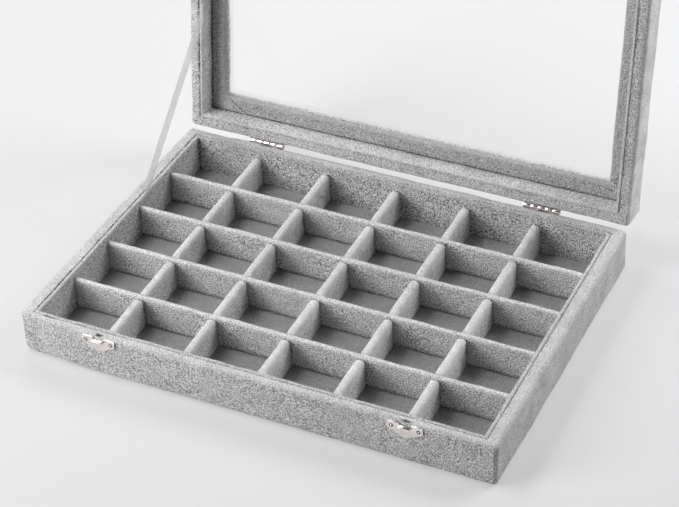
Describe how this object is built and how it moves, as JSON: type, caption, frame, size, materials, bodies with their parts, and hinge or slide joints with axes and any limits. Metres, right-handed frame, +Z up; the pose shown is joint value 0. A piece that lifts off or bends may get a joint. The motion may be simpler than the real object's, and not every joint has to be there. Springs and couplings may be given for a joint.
{
  "type": "glass-lid jewelry organizer box",
  "caption": "Velvet-covered jewelry organizer box with small compartments and a hinged, glazed lid held open by a ribbon.",
  "frame": {"origin": "centre of the base underside", "axes": "+X along the long side, -Y out of the latch side, +Z up; the lid stands open as in the picture"},
  "size_m": [0.35, 0.3113, 0.2901],
  "materials": {
    "velvet": "short pale grey velvet over board",
    "velvet_insert": "short pale grey velvet over thin board",
    "nickel": "bright nickel-plated pressed sheet",
    "glass": "clear flat glass",
    "ribbon": "pale satin ribbon"
  },
  "bodies": {
    "base": {"base_front_wall": "velvet", "base_right_wall": "velvet", "base_back_wall": "velvet", "base_left_wall": "velvet", "base_floor_board": "velvet", "insert_floor_pad": "velvet_insert", "base_liner_front": "velvet", "base_liner_right": "velvet", "base_liner_back": "velvet", "base_liner_left": "velvet", "row_divider_1": "velvet_insert", "row_divider_2": "velvet_insert", "row_divider_3": "velvet_insert", "row_divider_4": "velvet_insert", "column_divider_1": "velvet_insert", "column_divider_2": "velvet_insert", "column_divider_3": "velvet_insert", "column_divider_4": "velvet_insert", "column_divider_5": "velvet_insert", "hinge_left_base_leaf": "nickel", "hinge_left_pin": "nickel", "hinge_right_base_leaf": "nickel", "hinge_right_pin": "nickel", "latch_left_keeper": "nickel", "latch_right_keeper": "nickel", "ribbon_stay": "ribbon"},
    "lid": {"lid_front_wall": "velvet", "lid_right_wall": "velvet", "lid_back_wall": "velvet", "lid_left_wall": "velvet", "lid_liner_front": "velvet", "lid_liner_right": "velvet", "lid_liner_back": "velvet", "lid_liner_left": "velvet", "lid_window_rail_front": "velvet", "lid_window_rail_right": "velvet", "lid_window_rail_back": "velvet", "lid_window_rail_left": "velvet", "lid_top_rail_front": "velvet", "lid_top_rail_right": "velvet", "lid_top_rail_back": "velvet", "lid_top_rail_left": "velvet", "glass_pane": "glass", "hinge_left_lid_leaf": "nickel", "hinge_right_lid_leaf": "nickel", "latch_left_plate": "nickel", "latch_left_pin": "nickel", "latch_right_plate": "nickel", "latch_right_pin": "nickel"},
    "left_hasp": {"latch_left_hasp": "nickel"},
    "right_hasp": {"latch_right_hasp": "nickel"}
  },
  "joints": [
    {"name": "lid_hinge", "type": "hinge", "parent": "base", "child": "lid", "pos_m": [0, 0.1259, 0.0346], "axis": [1, 0, 0], "range_deg": [0, 97], "deforming": ["ribbon_stay"]},
    {"name": "left_hasp_hinge", "type": "hinge", "parent": "lid", "child": "left_hasp", "pos_m": [-0.1122, 0.16217, 0.28565], "axis": [-1, 0, 0], "range_deg": [0, 150]},
    {"name": "right_hasp_hinge", "type": "hinge", "parent": "lid", "child": "right_hasp", "pos_m": [0.1122, 0.16217, 0.28565], "axis": [-1, 0, 0], "range_deg": [0, 150]}
  ]
}
